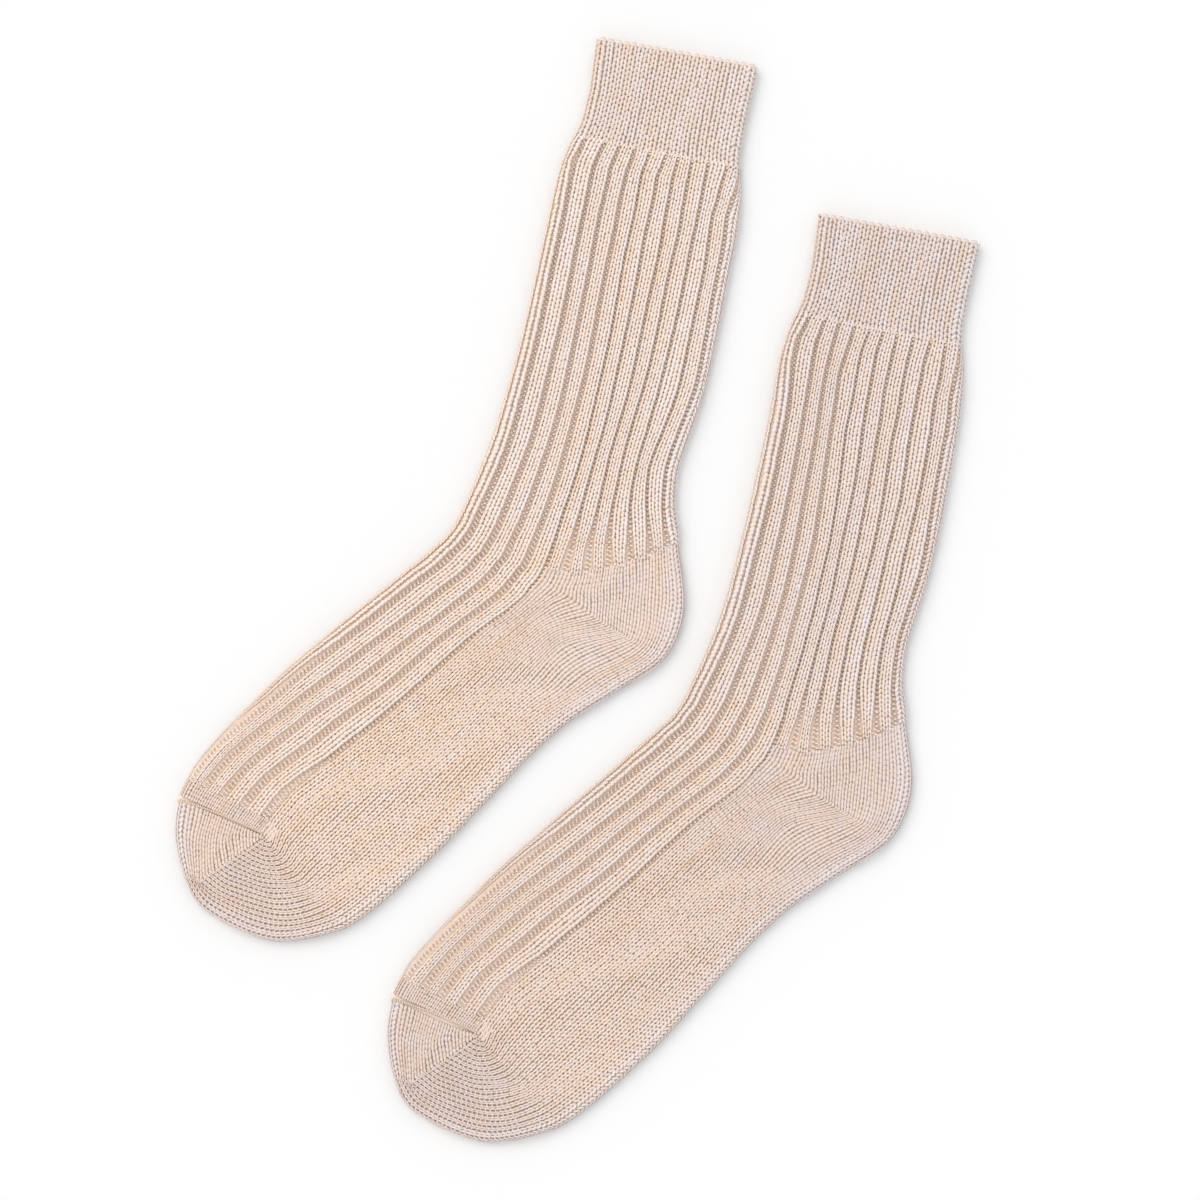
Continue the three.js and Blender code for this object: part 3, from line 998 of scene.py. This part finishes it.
def lay_seam_courses(sock, foot):
    """The few plain courses between the ribs and the seam."""
    width = 1.0 / SEAM_WALES
    zones = [(foot, LAST)]
    span = (SEAM_COURSES - 0.01, 13.03)
    for number in range(-2, 18):
        lane = straight_lane(-(number + 0.6) * width, width)
        lay_wale(zones, sock.body_point, lane, span, SEAM_PITCH, PLAIN_LEGS, level, CAP_KNIT)


def lay_seam(sock, toe):
    """The linking seam: a low ridge of short grains laid across it, from edge to pucker."""
    side = np.linspace(-1.02, 0.085, SEAM_GRAINS)
    place = np.interp(side, *zip(*SEAM_LINE))
    keys = [sock.body_point(place + 0.017 * k, side + 0.008 * k) for k in (-1, 0, 1)]
    rise = 0.45 + 0.5 * smoothstep(-0.35, -0.02, side)
    tones = 0.36 + rng.normal(0, 0.06, SEAM_GRAINS)
    toe.add(np.stack(keys, 1), np.abs(side) > 1, rise, 0.6, 0.4, tones, 0.5)


print("columns of the sole:", PLAIN_WALES, "and of the toe's upper side:", CAP_WALES)

# %% Knit both socks
stitches = {}
for sock in SOCKS:
    leg, foot = rib_stitches(sock)
    heel, toe = Yarn(sock), Yarn(sock)
    lay_plain(sock, heel, foot, toe)
    lay_cap(sock, toe)
    lay_seam_courses(sock, foot)
    lay_seam(sock, toe)
    made = {"welt": welt_stitches(sock)}
    for zone, yarn in (("leg", leg), ("heel", heel), ("foot", foot), ("toe", toe)):
        made[zone] = yarn.piece(f"{sock.name}_{zone}_stitches")
    stitches[sock.name] = made
for name, group in stitches.items():
    print(name, {zone: len(piece.data.polygons) for zone, piece in group.items()})

# %% [markdown]
# ## Yarn
# The yarn is an undyed cream with a little tan in it, rough and dull. Each grain has
# its own tone, cooler at the heel and the toe. Part of it is painted light: painted shade
# on a rib's low left flank, a painted highlight on its crest and on the back fold, and the
# lower sock painted a little darker. A coarse noise mottles it and a fine one gives its
# fibres. The cloth only shows through the gaps: it is tan, and darkest in the furrows,
# where the darkening is painted shade. Its hidden side has a plain knit bump instead of
# stitches.

# %% Colours
YARN_STOPS = (
    (0.35, (0.86, 0.63, 0.46)),
    (0.6, (0.95, 0.76, 0.61)),
    (0.82, (0.94, 0.79, 0.70)),
    (1.0, (0.95, 0.86, 0.81)),
)
# the zones differ a little in shade: red, green, blue
ZONE_TINTS = {
    "welt": (0.945, 0.945, 0.975),
    "leg": (0.999, 1.019, 1.064),
    "heel": (1.0, 1.0, 1.01),
    "foot": (1.0, 1.0, 1.01),
    "toe": (1.0, 1.0, 1.01),
}
# the lower sock is painted a little darker: painted shade for the weaker light on it
SOCK_PAINTED_SHADE = {"upper_sock": (1.0, 1.0, 1.0), "lower_sock": (0.955, 0.96, 0.98)}
COOL_TINT = (0.925, 0.93, 0.965)
# the cloth's colour by its rise; the dark low stops are painted shade in the furrows and gaps
GROUND_AND_SHADE_STOPS = (
    (0.0, (0.55, 0.41, 0.33)),
    (0.5, (0.80, 0.61, 0.49)),
    (0.75, (0.90, 0.73, 0.61)),
    (1.0, (0.90, 0.74, 0.60)),
)
# waves of the knit bump over the texture of the cloth tube
HIDDEN_COLUMNS = 60
HIDDEN_COURSES = 180

# %% Materials
def new_material(name):
    material = bpy.data.materials.new(name)
    material.use_nodes = True
    nodes, links = material.node_tree.nodes, material.node_tree.links
    return material, nodes, links, nodes["Principled BSDF"]


def attribute_node(nodes, name):
    node = nodes.new("ShaderNodeAttribute")
    node.attribute_name = name
    return node.outputs["Fac"]


def noise_node(nodes, links, scale, detail):
    """A noise over the part's own axes, so that it doesn't depend on a texture map."""
    place = nodes.new("ShaderNodeTexCoord")
    noise = nodes.new("ShaderNodeTexNoise")
    noise.inputs["Scale"].default_value = scale
    noise.inputs["Detail"].default_value = detail
    links.new(place.outputs["Object"], noise.inputs["Vector"])
    return noise.outputs["Fac"]


def colour_ramp(nodes, links, stops, value):
    """A ramp through stops of position and colour, fed by a value."""
    ramp = nodes.new("ShaderNodeValToRGB")
    stops = [(at, (*colour, 1)) for at, colour in stops]
    first, last = ramp.color_ramp.elements
    first.position, first.color = stops[0]
    last.position, last.color = stops[-1]
    for at, colour in stops[1:-1]:
        ramp.color_ramp.elements.new(at).color = colour
    links.new(value, ramp.inputs["Fac"])
    return ramp.outputs["Color"]


def math_node(nodes, links, operation, *values):
    """A math node with that operation over values, each a number or the output of another node."""
    node = nodes.new("ShaderNodeMath")
    node.operation = operation
    for value, entry in zip(values, node.inputs):
        if isinstance(value, bpy.types.NodeSocket):
            links.new(value, entry)
        else:
            entry.default_value = value
    return node.outputs[0]


def add_bump(nodes, links, height, shader, distance, strength):
    bump = nodes.new("ShaderNodeBump")
    bump.inputs["Distance"].default_value = distance * MM
    bump.inputs["Strength"].default_value = strength
    links.new(height, bump.inputs["Height"])
    links.new(bump.outputs["Normal"], shader.inputs["Normal"])


def yarn_material(name, tint):
    """Undyed yarn: tan in its darker grains, near white in its lightest, tinted a little; the tint holds
    the lower sock's painted shade.
    """
    material, nodes, links, shader = new_material(name)
    shader.inputs["Specular IOR Level"].default_value = 0.2
    shader.inputs["Sheen Weight"].default_value = 0.08
    fibre = noise_node(nodes, links, 1800, 3)
    add_bump(nodes, links, fibre, shader, 0.15, 0.4)
    rough = math_node(nodes, links, "MULTIPLY_ADD", fibre, 0.2, 0.8)
    links.new(rough, shader.inputs["Roughness"])
    mottle, tone = noise_node(nodes, links, 110, 5), attribute_node(nodes, "tone")
    mottled = math_node(nodes, links, "MULTIPLY_ADD", mottle, 0.35, tone)
    stops = [(at, np.multiply(colour, tint)) for at, colour in YARN_STOPS]
    shade = nodes.new("ShaderNodeMixRGB")
    shade.blend_type = "MULTIPLY"
    shade.inputs["Color2"].default_value = (*COOL_TINT, 1)
    links.new(attribute_node(nodes, "cool"), shade.inputs["Fac"])
    links.new(colour_ramp(nodes, links, stops, mottled), shade.inputs["Color1"])
    links.new(shade.outputs["Color"], shader.inputs["Base Color"])
    return material


def ground_material(name):
    """Darkest in the furrows, tan behind the stitches, and cream on the plain hidden side; the dark of the
    furrows is painted shade.
    """
    material, nodes, links, shader = new_material(name)
    shader.inputs["Roughness"].default_value = 0.95
    colour = colour_ramp(nodes, links, GROUND_AND_SHADE_STOPS, attribute_node(nodes, "rise"))
    links.new(colour, shader.inputs["Base Color"])
    plan = nodes.new("ShaderNodeUVMap")
    plan.uv_map = "OFBake"
    parts = nodes.new("ShaderNodeSeparateXYZ")
    links.new(plan.outputs["UV"], parts.inputs["Vector"])
    waves = []
    for axis, count in (("X", HIDDEN_COLUMNS), ("Y", HIDDEN_COURSES)):
        turns = math_node(nodes, links, "MULTIPLY", parts.outputs[axis], count * math.tau)
        waves.append(math_node(nodes, links, "SINE", turns))
    knit = math_node(nodes, links, "MULTIPLY", *waves)
    add_bump(nodes, links, knit, shader, 0.3, 0.6)
    return material


ground_look = ground_material("yarn behind the stitches")

for sock in SOCKS:
    tube = tubes[sock.name]
    tube.data.materials.append(ground_look)
    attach(tube, "root")
    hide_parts(*(f"{sock.name}_{zone}" for zone in stitches[sock.name]))
    for zone, piece in stitches[sock.name].items():
        tint = np.multiply(ZONE_TINTS[zone], SOCK_PAINTED_SHADE[sock.name])
        piece.data.materials.append(yarn_material(f"cream yarn of {sock.name} {zone}", tint))
        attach(piece, "root")
    width, length, area = cuts[sock.name]
drawn = [*tubes.values(), *(piece for group in stitches.values() for piece in group.values())]
lowest = min(vert.co.z for piece in drawn for vert in piece.data.vertices)
print("materials:", len(bpy.data.materials), "lowest point:", round(lowest * 1000, 2), "mm")

# %% [markdown]
# ## Table, light and camera
# The table is white and wide. A soft sky lights it all round, a little warmer from the
# left, and a broad sun from the upper left gives the faint shadow at the right edges.
# The camera looks straight down.

# %% Table
bpy.ops.mesh.primitive_plane_add(size=8, location=(0, 0, -0.0003))
table = bpy.context.object
table.name = "table"
white, _, _, white_shader = new_material("white table")
white_shader.inputs["Base Color"].default_value = (0.92, 0.92, 0.92, 1)
white_shader.inputs["Roughness"].default_value = 0.95
table.data.materials.append(white)
print("table:", [round(x, 2) for x in table.dimensions], "m")

# %% Sky and sun
SKY_STOPS = ((0, (1.0, 0.98, 0.96)), (1, (0.93, 0.965, 1.0)))

world = bpy.data.worlds.new("studio")
bpy.context.scene.world = world
world.use_nodes = True
nodes, links = world.node_tree.nodes, world.node_tree.links
sky = nodes["Background"]
sky.inputs["Strength"].default_value = 0.87
where = nodes.new("ShaderNodeTexCoord")
parts = nodes.new("ShaderNodeSeparateXYZ")
from_left = nodes.new("ShaderNodeMapRange")
from_left.inputs["From Min"].default_value = -1
links.new(where.outputs["Generated"], parts.inputs["Vector"])
links.new(parts.outputs["X"], from_left.inputs["Value"])
links.new(colour_ramp(nodes, links, SKY_STOPS, from_left.outputs["Result"]), sky.inputs["Color"])

key = bpy.data.lights.new("key", "SUN")
key.energy = 1.0
key.angle = math.radians(46)
key.color = (1.0, 0.985, 0.965)
key_object = add_object("key", key)
key_object.rotation_euler = Vector((0.62, -0.55, -1)).to_track_quat("-Z", "Y").to_euler()
print("sun strength:", key.energy, "sky strength:", round(sky.inputs["Strength"].default_value, 2))

# %% Camera
FRAME_WIDTH = 0.564
FRAME_MIDDLE = (0.0106, -0.0049)
LENS = 120
SENSOR = 36
# the camera is set by the frame's width at the height of the socks
SOCK_TOP = 0.006

camera = bpy.data.cameras.new("camera")
camera.lens = LENS
camera.sensor_width = SENSOR
camera_object = add_object("camera", camera)
camera_object.location = (*FRAME_MIDDLE, FRAME_WIDTH * LENS / SENSOR + SOCK_TOP)
bpy.context.scene.camera = camera_object
bpy.context.scene.view_settings.view_transform = "Standard"
print("camera height:", round(camera_object.location.z, 3), "m")
